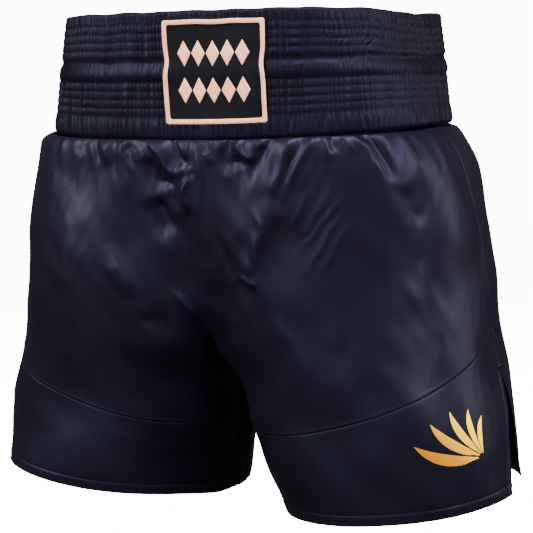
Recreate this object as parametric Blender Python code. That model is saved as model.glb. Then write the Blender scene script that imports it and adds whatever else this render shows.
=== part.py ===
"""Satin boxing shorts in the Thai style, as the cut pieces that are sewn together.

Metres, +Z up. The wearer faces -Y and their left side is at +X. The origin is the middle of
the waistband's rim, and the shorts hang below it. Each side of the body is one tube of cloth:
s runs round the front or the back of it, from the centre or inner-leg seam (0) to the side
seam (1), and t runs down it, from the waist seam (0) to the hem (1). The right side mirrors
the left.
"""

import math
from functools import lru_cache

import bmesh
import bpy
import numpy as np

# Waistband: a ring with flattened front and back, wider at its seam than at its rim.
RIM_HALF_WIDTH = 0.153
RIM_HALF_DEPTH = 0.123
RIM_CENTRE_Y = 0.003
SEAM_HALF_WIDTH = 0.169
SEAM_HALF_DEPTH = 0.111
SEAM_CENTRE_Y = -0.006
BAND_HEIGHT = 0.097
BAND_ROUNDNESS = 3.0  # exponent of the superellipse, where 2 would be an ellipse
CHANNEL_Z = -0.045  # the puffed channel between the two sewn zones
CHANNEL_HALF_HEIGHT = 0.010
CHANNEL_PUFF = 0.0025

# Body and legs.
BODY_PROUD = 0.004  # how far the gathered cloth stands out from the waist seam
SIDE_FULLNESS = 0.007
OUTSEAM = 0.400
LEG_CENTRE_X = 0.1387
LEG_CENTRE_Y = 0.003
LEG_HALF_WIDTH = 0.0922
LEG_HALF_DEPTH = 0.114
LEG_ROUNDNESS = 2.3
LEG_TOE_OUT = 0.206  # radians
HEM_RISE_OUTWARD = 0.126
HEM_RISE_BACKWARD = -0.031
HEM_DEPTH = 0.009
CROTCH_Z = -0.291
CROTCH_Y = -0.036

# The curved seam between the upper panels and the hem panels, and the side slits, in t.
CURVE_LOW = 0.782
CURVE_RISE = 0.236
CURVE_START = 0.15
CURVE_POWER = 1.9
SLIT_TOP = 0.66
SLIT_OPEN_FRONT = 0.115  # the share of the front hem that the open slit takes
SLIT_OPEN_BACK = 0.035

# Cloth and what is sewn into the band.
GAP = 0.0003
SEAM_MARGIN_S = 0.0008  # what a piece keeps clear of each seam, as a share of s or t
SEAM_MARGIN_T = 0.0006
BAND_GAP = 0.0007  # between the layers of the band, whose facets bend the tighter corners
CLOTH = 0.0012
ELASTIC = 0.0016
ELASTIC_ZONES = {"elastic_upper": (-0.0095, -0.0345), "elastic_lower": (-0.0555, -0.0805)}
BAND_THICKNESS = CLOTH + BAND_GAP + ELASTIC + BAND_GAP + CLOTH
EYELET_CLEARANCE = 0.0008
LABEL_CLEARANCE = 0.0015
BAND_COLUMNS = 26

# Patch on the front of the band, to the wearer's left of the centre seam.
PATCH_X = 0.0264
PATCH_TOP = -0.0075
PATCH_WIDTH = 0.088
PATCH_HEIGHT = 0.077
PATCH_BORDER = 0.004
PATCH_CLOTH = 0.0008
BORDER_CLOTH = 0.0014
MOTIF_CLOTH = 0.0006
MOTIF_ROWS = {"patch_motif_upper": -0.0325, "patch_motif_lower": -0.0595}
LOZENGES = 5
LOZENGE_PITCH = 0.0128
LOZENGE_HALF_HEIGHT = 0.0095
MOTIF_SPINE = 0.0014

# A plain wing in gold film on the front of the left leg. Angles are from +s, turning up.
WING_S = 0.785
WING_T = 0.868
WING_START = math.radians(78.0)
WING_END = math.radians(186.0)
WING_FEATHERS = 5
WING_SHORT = 0.034
WING_LONG = 0.066
WING_NOTCH = 0.38
FILM = 0.0004
FILM_LIFT = 0.0005

SATIN = (0.010, 0.011, 0.022)
PEACH = (0.72, 0.42, 0.31)
GOLD = (0.85, 0.52, 0.10)


def clear_scene():
    for obj in list(bpy.data.objects):
        bpy.data.objects.remove(obj, do_unlink=True)


def make_material(name, colour, roughness, sheen=0.0):
    material = bpy.data.materials.new(name)
    material.use_nodes = True
    shader = material.node_tree.nodes["Principled BSDF"]
    shader.inputs["Base Color"].default_value = (*colour, 1.0)
    shader.inputs["Roughness"].default_value = roughness
    shader.inputs["Metallic"].default_value = 0.0
    shader.inputs["Sheen Weight"].default_value = sheen
    material.diffuse_color = (*colour, 1.0)
    return material


def lerp(a, b, t):
    return a + (b - a) * t


def smoothstep(t):
    t = min(max(t, 0.0), 1.0)
    return t * t * (3.0 - 2.0 * t)


# ---------------------------------------------------------------- closed bodies from grids


def add_object(name, bm, material):
    """Turn a finished bmesh into one named, outward-facing object."""
    bmesh.ops.recalc_face_normals(bm, faces=bm.faces)
    mesh = bpy.data.meshes.new(name)
    bm.to_mesh(mesh)
    bm.free()
    mesh.materials.append(material)
    mesh.shade_smooth()
    mesh.set_sharp_from_angle(angle=math.radians(40))
    obj = bpy.data.objects.new(name, mesh)
    bpy.context.collection.objects.link(obj)
    return obj


def slab(name, outer, inner, material, closed=False):
    """A closed body between two grids of points. closed joins the last column to the first."""
    rows, columns = outer.shape[:2]
    bm = bmesh.new()
    front = [[bm.verts.new(outer[r, c]) for c in range(columns)] for r in range(rows)]
    behind = [[bm.verts.new(inner[r, c]) for c in range(columns)] for r in range(rows)]
    spans = columns if closed else columns - 1
    for c in range(spans):
        d = (c + 1) % columns
        for r in range(rows - 1):
            bm.faces.new((front[r][c], front[r][d], front[r + 1][d], front[r + 1][c]))
            bm.faces.new((behind[r][c], behind[r + 1][c], behind[r + 1][d], behind[r][d]))
        for r in (0, rows - 1):
            bm.faces.new((front[r][c], behind[r][c], behind[r][d], front[r][d]))
    if not closed:
        for c in (0, columns - 1):
            for r in range(rows - 1):
                edge = (front[r][c], front[r + 1][c], behind[r + 1][c], behind[r][c])
                bm.faces.new(edge)
    return add_object(name, bm, material)


# ---------------------------------------------------------------- the waistband's surface


def superellipse_quarter(exponent, count):
    """Points of a unit quarter from (1, 0) to (0, 1)."""
    angle = np.linspace(0.0, math.pi / 2, count)
    power = 2.0 / exponent
    x = np.clip(np.cos(angle), 0.0, 1.0) ** power
    y = np.clip(np.sin(angle), 0.0, 1.0) ** power
    return np.stack([x, y], axis=-1)


def along(points, share):
    """The point at a share of a polyline's length."""
    steps = np.linalg.norm(np.diff(points, axis=0), axis=1)
    length = np.concatenate([[0.0], np.cumsum(steps)])
    place = share * length[-1]
    return np.array([np.interp(place, length, points[:, k]) for k in range(2)])


@lru_cache(maxsize=None)
def band_section(z, puffed):
    """The band's front half at height z, from its right side to its left side."""
    down = -z / BAND_HEIGHT
    reach = (z - CHANNEL_Z) / CHANNEL_HALF_HEIGHT
    puff = CHANNEL_PUFF * max(0.0, 1.0 - reach * reach) if puffed else 0.0
    width = lerp(RIM_HALF_WIDTH, SEAM_HALF_WIDTH, down) + puff
    depth = lerp(RIM_HALF_DEPTH, SEAM_HALF_DEPTH, down) + puff
    quarter = superellipse_quarter(BAND_ROUNDNESS, 60)
    right = quarter * (-width, -depth)
    left = quarter[::-1] * (width, -depth)
    return np.concatenate([right, left[1:]])


def band_point(share, z, back=False, out=0.0, puffed=False):
    """A point of the band's outer face, moved out along the level normal."""
    section = band_section(z, puffed)
    here = along(section, share)
    step = 0.002
    ahead = along(section, min(share + step, 1.0)) - along(section, max(share - step, 0.0))
    normal = np.array([ahead[1], -ahead[0]]) / np.linalg.norm(ahead)
    here = here + normal * out
    centre = lerp(RIM_CENTRE_Y, SEAM_CENTRE_Y, -z / BAND_HEIGHT)
    side = -1.0 if back else 1.0
    return (here[0], centre + side * here[1], z)


def band_share_at(x, z):
    """The share of the front section at which it passes x."""
    section = band_section(z, False)
    steps = np.linalg.norm(np.diff(section, axis=0), axis=1)
    length = np.concatenate([[0.0], np.cumsum(steps)])
    return float(np.interp(x, section[:, 0], length / length[-1]))


BAND_SHARES = np.linspace(SEAM_MARGIN_S, 1.0 - SEAM_MARGIN_S, BAND_COLUMNS)


def band_grid(heights, back, out, puffed):
    return np.array(
        [[band_point(share, z, back, out, puffed) for share in BAND_SHARES] for z in heights]
    )


def ring_grid(heights, out):
    """A grid that goes all the way round the band."""
    front = band_grid(heights, False, out, False)
    behind = band_grid(heights, True, out, False)
    return np.concatenate([front, behind[:, ::-1]], axis=1)


# ---------------------------------------------------------------- the body's surface


def hem_oval(angle):
    """A point of the left leg's hem, seen from above. Angle 0 is the outer side."""
    power = 2.0 / LEG_ROUNDNESS
    c, s = math.cos(angle), math.sin(angle)
    x = LEG_HALF_WIDTH * math.copysign(abs(c) ** power, c)
    y = LEG_HALF_DEPTH * math.copysign(abs(s) ** power, s)
    turn_c, turn_s = math.cos(LEG_TOE_OUT), math.sin(LEG_TOE_OUT)
    return np.array([LEG_CENTRE_X + x * turn_c - y * turn_s, LEG_CENTRE_Y + x * turn_s + y * turn_c])


def hem_height(x, y):
    rise = HEM_RISE_OUTWARD * (x - LEG_CENTRE_X) + HEM_RISE_BACKWARD * (y - LEG_CENTRE_Y)
    return -OUTSEAM + rise


HEM_INNER = hem_oval(math.pi)
HEM_OUTER = hem_oval(0.0)
HEM_FRONT = hem_oval(-math.pi / 2)
HEM_BACK = hem_oval(math.pi / 2)
CROTCH_T = (-CROTCH_Z - BAND_HEIGHT) / (-hem_height(*HEM_INNER) - BAND_HEIGHT)


def seat_top(back):
    side = 1.0 if back else -1.0
    return SEAM_CENTRE_Y + side * (SEAM_HALF_DEPTH + BODY_PROUD)


def inner_edge(t, back):
    """The centre seam down to the crotch, then the inner-leg seam."""
    if t < CROTCH_T:
        bend = math.sqrt(1.0 - (t / CROTCH_T) ** 2)
        return np.array([0.0, lerp(CROTCH_Y, seat_top(back), bend)])
    down = (t - CROTCH_T) / (1.0 - CROTCH_T)
    return np.array([HEM_INNER[0] * down**0.85, lerp(CROTCH_Y, HEM_INNER[1], smoothstep(down))])


def side_edge(t):
    """The side seam, fuller at the hip than a straight line."""
    fullness = SIDE_FULLNESS * math.sin(math.pi * min(max(t, 0.0), 1.0) ** 0.6)
    x = lerp(SEAM_HALF_WIDTH + BODY_PROUD, HEM_OUTER[0], t) + fullness
    return np.array([x, lerp(SEAM_CENTRE_Y, HEM_OUTER[1], t)])


def crown_edge(t, back):
    """The foremost, or rearmost, line of the leg."""
    hem = HEM_BACK if back else HEM_FRONT
    reach = smoothstep(t)
    return np.array([hem[0] * reach**0.8, lerp(seat_top(back), hem[1], reach)])


@lru_cache(maxsize=None)
def body_section(t, back):
    """Half of the left leg's outline at t, seen from above, from inner seam to side seam."""
    start = inner_edge(t, back)
    turn = LEG_TOE_OUT * smoothstep((t - CROTCH_T) / (1.0 - CROTCH_T))
    axis = np.array([math.cos(turn), math.sin(turn)])
    across = np.array([-axis[1], axis[0]])
    crown = crown_edge(t, back) - start
    side = side_edge(t) - start
    crown = np.array([crown @ axis, crown @ across])
    side = np.array([side @ axis, side @ across])
    exponent = lerp(BAND_ROUNDNESS, LEG_ROUNDNESS, smoothstep(1.6 * t))
    quarter = superellipse_quarter(exponent, 60)
    inner = np.stack([crown[0] * (1.0 - quarter[:, 0]), crown[1] * quarter[:, 1]], axis=-1)
    outer = np.stack(
        [
            crown[0] + (side[0] - crown[0]) * quarter[:, 1],
            side[1] - (side[1] - crown[1]) * quarter[:, 0],
        ],
        axis=-1,
    )
    local = np.concatenate([inner, outer[1:]])
    return start + local[:, :1] * axis + local[:, 1:] * across


def body_point(s, t, back):
    """A point of the left half's outer face."""
    s = min(max(s, 0.0), 1.0)
    t = min(max(t, 0.0), 1.0)
    x, y = along(body_section(t, back), s)
    top = -BAND_HEIGHT - GAP
    bottom = hem_height(*along(body_section(1.0, back), s))
    return np.array([x + GAP / 2, y, lerp(top, bottom, t)])


def body_normal(s, t, back):
    """The outward normal, from short steps along s and t."""
    step = 0.004
    along_s = body_point(s + step, t, back) - body_point(s - step, t, back)
    along_t = body_point(s, t + step, back) - body_point(s, t - step, back)
    normal = np.cross(along_s, along_t) if back else np.cross(along_t, along_s)
    return normal / np.linalg.norm(normal)


def body_face_point(s, t, back, out, mirrored):
    point = body_point(s, t, back) + body_normal(s, t, back) * out
    if mirrored:
        point = point * (-1.0, 1.0, 1.0)
    return point


def curve_t(s):
    """Where the curved seam runs: level near the inner leg, rising to the side seam."""
    share = max(0.0, s - CURVE_START) / (1.0 - CURVE_START)
    return CURVE_LOW - CURVE_RISE * share**CURVE_POWER


def slit_edge(t, back):
    """How much of s is left to the cloth beside the open side slit."""
    opening = SLIT_OPEN_BACK if back else SLIT_OPEN_FRONT
    down = max(0.0, t - SLIT_TOP) / (1.0 - SLIT_TOP)
    return 1.0 - opening * down**1.25


def panel_grids(rows, columns, t_of, back, mirrored, depth_of):
    """Outer and inner grids of a panel. t_of(s, share) says how far down each row is."""
    outer = np.zeros((len(rows), columns, 3))
    inner = np.zeros((len(rows), columns, 3))
    for r, share in enumerate(rows):
        for c in range(columns):
            across = c / (columns - 1)
            t = t_of(across, share)
            s = lerp(SEAM_MARGIN_S, slit_edge(t, back) - SEAM_MARGIN_S, across)
            outer[r, c] = body_face_point(s, t, back, 0.0, mirrored)
            inner[r, c] = body_face_point(s, t, back, -depth_of(share), mirrored)
    return outer, inner


# ---------------------------------------------------------------- the pieces


def make_band(material, lining):
    heights = (0.0, -0.010, -0.035, -0.040, CHANNEL_Z, -0.050, -0.055, -0.080, -BAND_HEIGHT)
    inside = CLOTH + BAND_GAP + ELASTIC + BAND_GAP
    level = (0.0, -BAND_HEIGHT / 2, -BAND_HEIGHT)
    for place, back in (("front", False), ("back", True)):
        outer = band_grid(heights, back, 0.0, True)
        inner = band_grid(heights, back, -CLOTH, True)
        slab(f"waistband_{place}", outer, inner, material)
        outer = band_grid(level, back, -inside, False)
        inner = band_grid(level, back, -inside - CLOTH, False)
        slab(f"waistband_lining_{place}", outer, inner, lining)


def make_elastics(material):
    for name, heights in ELASTIC_ZONES.items():
        outside = CLOTH + BAND_GAP
        outer = ring_grid(heights, -outside)
        inner = ring_grid(heights, -outside - ELASTIC)
        slab(name, outer, inner, material, closed=True)


def make_body(material):
    to_crotch = [math.sin(math.pi / 2 * k / 9) * CROTCH_T / CURVE_LOW for k in range(10)]
    upper_rows = to_crotch + [lerp(to_crotch[-1], 1.0, k / 3) for k in (1, 2, 3)]
    hem_share = 1.0 - HEM_DEPTH / (0.22 * OUTSEAM)
    hem_rows = (0.0, 0.33, 0.66, hem_share, 1.0)

    def upper_t(s, share):
        return min(share * curve_t(s), curve_t(s) - SEAM_MARGIN_T)

    def lower_t(s, share):
        return lerp(curve_t(s) + SEAM_MARGIN_T, 1.0, share)

    def single(share):
        return CLOTH

    def hemmed(share):
        return CLOTH * (2.0 if share >= hem_share else 1.0)

    for side, mirrored in (("left", False), ("right", True)):
        for place, back in (("front", False), ("back", True)):
            outer, inner = panel_grids(upper_rows, 15, upper_t, back, mirrored, single)
            slab(f"{place}_panel_{side}", outer, inner, material)
            outer, inner = panel_grids(hem_rows, 15, lower_t, back, mirrored, hemmed)
            slab(f"{place}_hem_panel_{side}", outer, inner, material)


def patch_place(x, z, out):
    """A point over the band's face at x and z."""
    share = band_share_at(x, z)
    return band_point(share, z, False, out)


def make_patch(satin, peach):
    left = PATCH_X - PATCH_WIDTH / 2
    right = PATCH_X + PATCH_WIDTH / 2
    bottom = PATCH_TOP - PATCH_HEIGHT
    inset = PATCH_BORDER + GAP
    xs = np.linspace(left + inset, right - inset, 10)
    zs = np.linspace(PATCH_TOP - inset, bottom + inset, 9)
    lift = GAP + CHANNEL_PUFF

    def sheet(out):
        return np.array([[patch_place(x, z, out) for x in xs] for z in zs])

    slab("patch_field", sheet(lift + PATCH_CLOTH), sheet(lift), satin)

    def frame_loop(margin, out):
        """Points round the border, at a margin inside its outer edge."""
        low_x, high_x = left + margin, right - margin
        high_z, low_z = PATCH_TOP - margin, bottom + margin
        across = np.linspace(0.0, 1.0, 10)[:-1]
        points = [(lerp(low_x, high_x, k), high_z) for k in across]
        points += [(high_x, lerp(high_z, low_z, k)) for k in across]
        points += [(lerp(high_x, low_x, k), low_z) for k in across]
        points += [(low_x, lerp(low_z, high_z, k)) for k in across]
        return [patch_place(x, z, out) for x, z in points]

    margins = (0.0, PATCH_BORDER)
    outer = np.array([frame_loop(margin, lift + BORDER_CLOTH) for margin in margins])
    inner = np.array([frame_loop(margin, lift) for margin in margins])
    slab("patch_border", outer, inner, peach, closed=True)

    base = lift + PATCH_CLOTH + GAP
    half = LOZENGES * LOZENGE_PITCH / 2
    stations = np.linspace(-half, half, 4 * LOZENGES + 1)
    for name, middle in MOTIF_ROWS.items():

        def row_sheet(out):
            rows = []
            for level in (1.0, 0.0, -1.0):
                row = []
                for station in stations:
                    phase = abs((station / LOZENGE_PITCH + LOZENGES / 2) % 1.0 - 0.5) * 2.0
                    tall = max(MOTIF_SPINE, LOZENGE_HALF_HEIGHT * (1.0 - phase))
                    row.append(patch_place(PATCH_X + station, middle + level * tall, out))
                rows.append(row)
            return np.array(rows)

        slab(name, row_sheet(base + MOTIF_CLOTH), row_sheet(base), peach)


def wing_radius(angle):
    """The wing's outline about its root: feathers that end in points, longer towards the left."""
    share = (angle - WING_START) / (WING_END - WING_START)
    phase = (share * WING_FEATHERS) % 1.0 if share < 1.0 else 1.0
    length = lerp(WING_SHORT, WING_LONG, math.floor(min(share, 0.999) * WING_FEATHERS) / WING_FEATHERS)
    return length * (1.0 - WING_NOTCH * phase)


def wing_angles():
    """Stations across each feather, doubled just past each notch so that its step stays steep."""
    angles = []
    for feather in range(WING_FEATHERS):
        for phase in (0.001, 0.25, 0.5, 0.75, 0.97):
            angles.append(lerp(WING_START, WING_END, (feather + phase) / WING_FEATHERS))
    return angles


def make_emblem(material):
    """A thin film over the left leg's front hem panel."""
    reach = 0.05
    ends_s = [body_point(WING_S + side * reach, WING_T, False) for side in (-1, 1)]
    ends_t = [body_point(WING_S, WING_T + side * reach, False) for side in (-1, 1)]
    across = float(np.linalg.norm(ends_s[1] - ends_s[0])) / (2 * reach)
    down = float(np.linalg.norm(ends_t[1] - ends_t[0])) / (2 * reach)

    def film(out):
        rows = []
        for ring in (0.1, 0.4, 0.7, 1.0):
            row = []
            for angle in wing_angles():
                radius = ring * wing_radius(angle)
                s = WING_S + radius * math.cos(angle) / across
                t = WING_T - radius * math.sin(angle) / down
                row.append(body_face_point(s, t, False, out, False))
            rows.append(row)
        return np.array(rows)

    slab("leg_emblem", film(FILM_LIFT + FILM), film(FILM_LIFT), material)


def make_bartacks(material):
    """Short bars of dense stitching across the top of each slit."""
    for side, mirrored in (("left", False), ("right", True)):

        def bar(out):
            rows = []
            for rise in (-0.004, 0.004):
                front = body_face_point(0.985, SLIT_TOP + rise, False, out, mirrored)
                seam = body_face_point(1.0, SLIT_TOP + rise, False, out + 0.0002, mirrored)
                behind = body_face_point(0.985, SLIT_TOP + rise, True, out, mirrored)
                rows.append([front, seam, behind])
            return np.array(rows)

        slab(f"slit_bartack_{side}", bar(0.0016), bar(0.0006), material)


def make_eyelets(material):
    """Two small rings inside the front of the band, where the waist cord would come out."""
    inside = BAND_THICKNESS + GAP
    steps = 16
    for side, x in (("left", 0.014), ("right", -0.014)):
        grids = []
        for out in (-inside, -inside - 0.0008):
            rows = []
            for radius in (0.0045, 0.0022):
                y = patch_place(x, CHANNEL_Z, out)[1]
                turn = [2.0 * math.pi * k / steps for k in range(steps)]
                ring = [(x + radius * math.cos(a), y, CHANNEL_Z + radius * math.sin(a)) for a in turn]
                rows.append(ring)
            grids.append(np.array(rows) + (0.0, EYELET_CLEARANCE, 0.0))
        slab(f"cord_eyelet_{side}", grids[0], grids[1], material, closed=True)


def make_labels(material):
    """The size label at the centre back and the care label at the left side seam, both inside."""
    inside = BAND_THICKNESS + LABEL_CLEARANCE

    def size_label(out):
        shares = (0.46, 0.5, 0.54)
        return np.array([[band_point(k, z, True, out) for k in shares] for z in (-0.062, -0.086)])

    slab("size_label", size_label(-inside), size_label(-inside - 0.0004), material)

    def care_label(x):
        y = (-0.016, 0.0, 0.016)
        return np.array([[(x, SEAM_CENTRE_Y + v, z) for v in y] for z in (-0.100, -0.160)])

    slab("care_label", care_label(0.1665), care_label(0.1661), material)


def main():
    clear_scene()
    satin = make_material("navy satin", SATIN, 0.35, sheen=0.2)
    lining = make_material("lining satin", SATIN, 0.45)
    elastic = make_material("elastic webbing", (0.03, 0.03, 0.035), 0.8)
    peach = make_material("peach thread", PEACH, 0.6)
    gold = make_material("gold film", GOLD, 0.35)
    label = make_material("woven label", (0.75, 0.74, 0.72), 0.7)
    thread = make_material("navy thread", (0.02, 0.02, 0.04), 0.6)
    make_band(satin, lining)
    make_elastics(elastic)
    make_body(satin)
    make_patch(satin, peach)
    make_emblem(gold)
    make_bartacks(thread)
    make_eyelets(thread)
    make_labels(label)


main()
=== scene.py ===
"""The looks of the satin boxing shorts: gathered waistband, draped panels, patch and emblem.

Metres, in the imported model's frame: +X is the wearer's left, the wearer faces -Y, and the
waistband's rim lies at z = 0. s runs round a panel from the centre or inner-leg seam (0) to the
side seam (1), and t runs down it from the waist seam (0) to the hem (1).
"""

import math

import bpy
import numpy as np
from mathutils import Matrix, Vector


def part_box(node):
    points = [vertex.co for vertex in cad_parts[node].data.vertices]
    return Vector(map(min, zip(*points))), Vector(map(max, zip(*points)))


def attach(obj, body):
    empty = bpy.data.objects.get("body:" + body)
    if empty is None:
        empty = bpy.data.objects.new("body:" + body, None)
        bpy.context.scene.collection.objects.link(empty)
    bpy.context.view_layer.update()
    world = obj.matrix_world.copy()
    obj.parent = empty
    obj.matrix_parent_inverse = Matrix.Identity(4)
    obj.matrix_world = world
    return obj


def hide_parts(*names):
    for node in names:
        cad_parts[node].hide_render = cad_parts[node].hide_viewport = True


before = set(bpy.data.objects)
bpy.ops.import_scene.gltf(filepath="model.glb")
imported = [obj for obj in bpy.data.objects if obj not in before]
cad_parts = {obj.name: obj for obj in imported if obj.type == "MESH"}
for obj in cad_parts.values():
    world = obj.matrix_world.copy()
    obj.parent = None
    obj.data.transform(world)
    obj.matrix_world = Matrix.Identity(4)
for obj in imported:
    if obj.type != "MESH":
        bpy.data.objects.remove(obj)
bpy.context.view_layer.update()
BODY = "root"

# ---- sizes, as in the frame

BAND_LOW, BAND_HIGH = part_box("waistband_front")
BAND_HEIGHT = BAND_HIGH[2] - BAND_LOW[2]
RIM_HALF_WIDTH, RIM_HALF_DEPTH, RIM_CENTRE_Y = 0.153, 0.123, 0.003
SEAM_HALF_WIDTH, SEAM_HALF_DEPTH, SEAM_CENTRE_Y = 0.169, 0.111, -0.006
BAND_ROUNDNESS = 3.0
BODY_PROUD = 0.004
SIDE_FULLNESS = 0.007
OUTSEAM = 0.400
# Metres for t from 0 to 1, and for s from 0 to 1 half way down, at the seams and at the hem.
PANEL_DROP = 0.31
PANEL_SPAN, SEAM_SPAN, HEM_SPAN = 0.28, 0.26, 0.30
LEG_CENTRE_X, LEG_CENTRE_Y = 0.1387, 0.003
LEG_HALF_WIDTH, LEG_HALF_DEPTH = 0.0922, 0.114
LEG_ROUNDNESS = 2.3
LEG_TOE_OUT = 0.206
HEM_RISE_OUTWARD, HEM_RISE_BACKWARD = 0.126, -0.031
CROTCH_Z, CROTCH_Y = -0.291, -0.036
CURVE_LOW, CURVE_RISE, CURVE_START, CURVE_POWER = 0.782, 0.236, 0.15, 1.9
SLIT_TOP, SLIT_OPEN_FRONT, SLIT_OPEN_BACK = 0.66, 0.115, 0.035
MM = 0.001

# The photograph's view, in radians and metres. The folds of the front are laid out in it too.
VIEW_AZIMUTH = 0.47
VIEW_ELEVATION = 0.127
VIEW_DISTANCE = 1.322
VIEW_ROLL = -0.018
VIEW_TARGET = (0.0095, 0.0, -0.2138)
LENS, SENSOR = 102.5, 36.0


def lerp(a, b, t):
    return a + (b - a) * t


def smoothstep(t):
    t = np.clip(t, 0.0, 1.0)
    return t * t * (3.0 - 2.0 * t)


def bell(x):
    return np.exp(-x * x)


def crest(x):
    """A cloth fold's profile: a tighter top and longer flanks than a bell."""
    return 1.0 / np.cosh(1.7 * x) ** 1.15


def unit(vectors):
    return vectors / np.linalg.norm(vectors, axis=-1, keepdims=True)


def arc_length(path):
    """The distance along a path to each of its points."""
    steps = np.linalg.norm(np.diff(path, axis=0), axis=1)
    return np.concatenate([[0.0], np.cumsum(steps)])


def at_lengths(places, length, values):
    """What a path's columns of values are at places along it."""
    return np.stack([np.interp(places, length, column) for column in np.transpose(values)], axis=-1)


def waves(seed, count, across, up):
    """Smooth noise of (u, z): a sum of waves whose counts round u are whole numbers."""
    rng = np.random.default_rng(seed)
    ku = rng.integers(across[0], across[1] + 1, count)
    kz = rng.uniform(up[0], up[1], count) * rng.choice((-1.0, 1.0), count)
    shift = rng.uniform(0.0, 2 * math.pi, count)

    def noise(u, z):
        total = 0.0
        for a, b, c in zip(ku, kz, shift):
            total = total + np.cos(2 * math.pi * (a * u + b * z) + c)
        return total / math.sqrt(count / 2)

    return noise


# ---- materials

PAPER_GLOW = 12.0


class Nodes:
    """A short way to write a material's nodes."""

    def __init__(self, name):
        self.material = bpy.data.materials.new(name)
        self.material.use_nodes = True
        self.tree = self.material.node_tree
        self.shader = self.tree.nodes["Principled BSDF"]

    def add(self, kind, **values):
        node = self.tree.nodes.new("ShaderNode" + kind)
        for key, value in values.items():
            setattr(node, key, value)
        return node

    def link(self, source, socket):
        self.tree.links.new(source, socket)

    def set(self, **values):
        for key, value in values.items():
            self.shader.inputs[key.replace("_", " ")].default_value = value

    def noise(self, scale, detail=2.0, stretch=(1, 1, 1)):
        place = self.add("TexCoord")
        mapping = self.add("Mapping")
        mapping.inputs["Scale"].default_value = stretch
        texture = self.add("TexNoise")
        texture.inputs["Scale"].default_value = scale
        texture.inputs["Detail"].default_value = detail
        self.link(place.outputs["Object"], mapping.inputs["Vector"])
        self.link(mapping.outputs["Vector"], texture.inputs["Vector"])
        return texture.outputs["Fac"]

    def ramp(self, source, stops):
        ramp = self.add("ValToRGB")
        elements = ramp.color_ramp.elements
        while len(elements) < len(stops):
            elements.new(0.5)
        for element, (position, colour) in zip(elements, stops):
            element.position = position
            element.color = (*colour, 1.0)
        self.link(source, ramp.inputs["Fac"])
        return ramp.outputs["Color"]

    def spread(self, source, low, high):
        span = self.add("MapRange")
        span.inputs["To Min"].default_value = low
        span.inputs["To Max"].default_value = high
        self.link(source, span.inputs["Value"])
        return span.outputs["Result"]

    def across_and_up(self, coordinates="UV"):
        place, parts = self.add("TexCoord"), self.add("SeparateXYZ")
        self.link(place.outputs[coordinates], parts.inputs["Vector"])
        return parts.outputs["X"], parts.outputs["Y"]

    def colour(self, source, stops):
        self.link(self.ramp(source, stops), self.shader.inputs["Base Color"])

    def roughness(self, source, low, high):
        self.link(self.spread(source, low, high), self.shader.inputs["Roughness"])

    def math(self, operation, a, b):
        node = self.add("Math", operation=operation)
        for socket, value in zip(node.inputs, (a, b)):
            if isinstance(value, (int, float)):
                socket.default_value = value
            else:
                self.link(value, socket)
        return node.outputs["Value"]

    def bump(self, height, distance, strength=1.0):
        bump = self.add("Bump")
        bump.inputs["Distance"].default_value = distance
        bump.inputs["Strength"].default_value = strength
        self.link(height, bump.inputs["Height"])
        self.link(bump.outputs["Normal"], self.shader.inputs["Normal"])


def weave(nodes, pitch, diagonal=False, coordinates="UV"):
    """Threads that cross at a pitch, as a height from -1 to 1."""
    u, v = (nodes.math("MULTIPLY", way, 2 * math.pi / pitch) for way in nodes.across_and_up(coordinates))
    if diagonal:
        return nodes.math("SINE", nodes.math("ADD", u, v), 0.0)
    return nodes.math("MULTIPLY", nodes.math("SINE", u, 0.0), nodes.math("SINE", v, 0.0))


SATIN_DEEP = (0.0030, 0.0027, 0.0052)
SATIN_LIGHT = (0.0052, 0.0048, 0.0094)
SATIN_SPECULAR = (0.56, 0.54, 1.0, 1.0)
SATIN_SHEEN = (0.30, 0.28, 0.52, 1.0)


def satin_material(name, roughness, lustre_level, depth):
    """Polyester satin: near-black navy with a broad blue-grey lustre and fine long floats. depth darkens the
    base colour; the gathered band's lower depth is painted shade.
    """
    n = Nodes(name)
    deep, light = (tuple(c * depth for c in colour) for colour in (SATIN_DEEP, SATIN_LIGHT))
    n.colour(n.noise(14.0, 3.0), [(0.3, deep), (0.7, light)])
    grain = n.noise(620.0, 3.0, stretch=(1.0, 1.0, 0.22))
    mixed = n.math("ADD", n.math("MULTIPLY", grain, 0.4), n.math("MULTIPLY", n.noise(9.0, 2.0), 0.6))
    n.roughness(mixed, roughness - 0.07, roughness + 0.07)
    n.set(Metallic=0.0, Specular_IOR_Level=lustre_level, Specular_Tint=SATIN_SPECULAR,
          Sheen_Weight=0.01, Sheen_Roughness=0.35, Sheen_Tint=SATIN_SHEEN)
    n.bump(grain, 0.00012, 0.6)
    return n.material


def thread_material(name, colour, shine):
    n = Nodes(name)
    fibre = n.noise(900.0, 2.0, stretch=(1.0, 1.0, 0.4))
    n.colour(fibre, [(0.3, tuple(c * 0.72 for c in colour)), (0.65, colour)])
    n.roughness(fibre, 0.47, 0.65)
    n.set(Specular_IOR_Level=shine)
    n.bump(fibre, 0.0001, 0.4)
    return n.material


def patch_material():
    """Matte navy twill."""
    n = Nodes("patch twill")
    twill = weave(n, 0.0011, diagonal=True)
    n.colour(n.spread(twill, 0.0, 1.0), [(0.2, (0.0014, 0.0014, 0.0031)), (0.8, (0.0025, 0.0025, 0.0053))])
    n.roughness(n.noise(60.0), 0.62, 0.78)
    n.set(Specular_IOR_Level=0.06)
    n.bump(twill, 0.00012, 0.5)
    return n.material


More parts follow.
